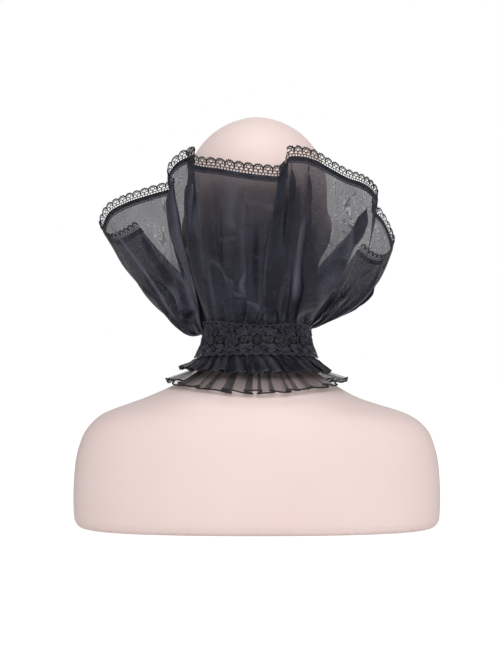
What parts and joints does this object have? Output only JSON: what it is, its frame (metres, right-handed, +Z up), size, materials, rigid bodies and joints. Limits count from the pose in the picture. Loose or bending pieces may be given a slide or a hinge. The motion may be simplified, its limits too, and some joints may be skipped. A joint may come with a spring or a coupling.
{
  "type": "stand collar on a display bust",
  "caption": "Gathered sheer stand collar with scalloped lace edging, flower lace neck band and pleated frills, worn by a smooth head-and-shoulders display bust.",
  "frame": {"origin": "middle of the whole part's box at the underside of the bust", "axes": "+Z up, -Y the way the bust faces, +X to the wearer's left"},
  "size_m": [0.384, 0.2314, 0.43],
  "materials": {
    "bust_plastic": "satin pale pink shell",
    "band_cloth": "dull black strip",
    "guipure_lace": "matt black corded flowers",
    "organza": "sheer black with a bluish sheen",
    "edging_lace": "matt black openwork",
    "hook_metal": "black lacquer"
  },
  "bodies": {
    "root": {"display_bust": "bust_plastic", "neck_band": "band_cloth", "flower_lace_band": "guipure_lace", "organza_fan": "organza", "fan_lace_edging": "edging_lace", "upper_frill": "organza", "lower_frill": "organza", "hook_1": "hook_metal", "hook_2": "hook_metal", "eye_1": "hook_metal", "eye_2": "hook_metal"}
  },
  "joints": []
}
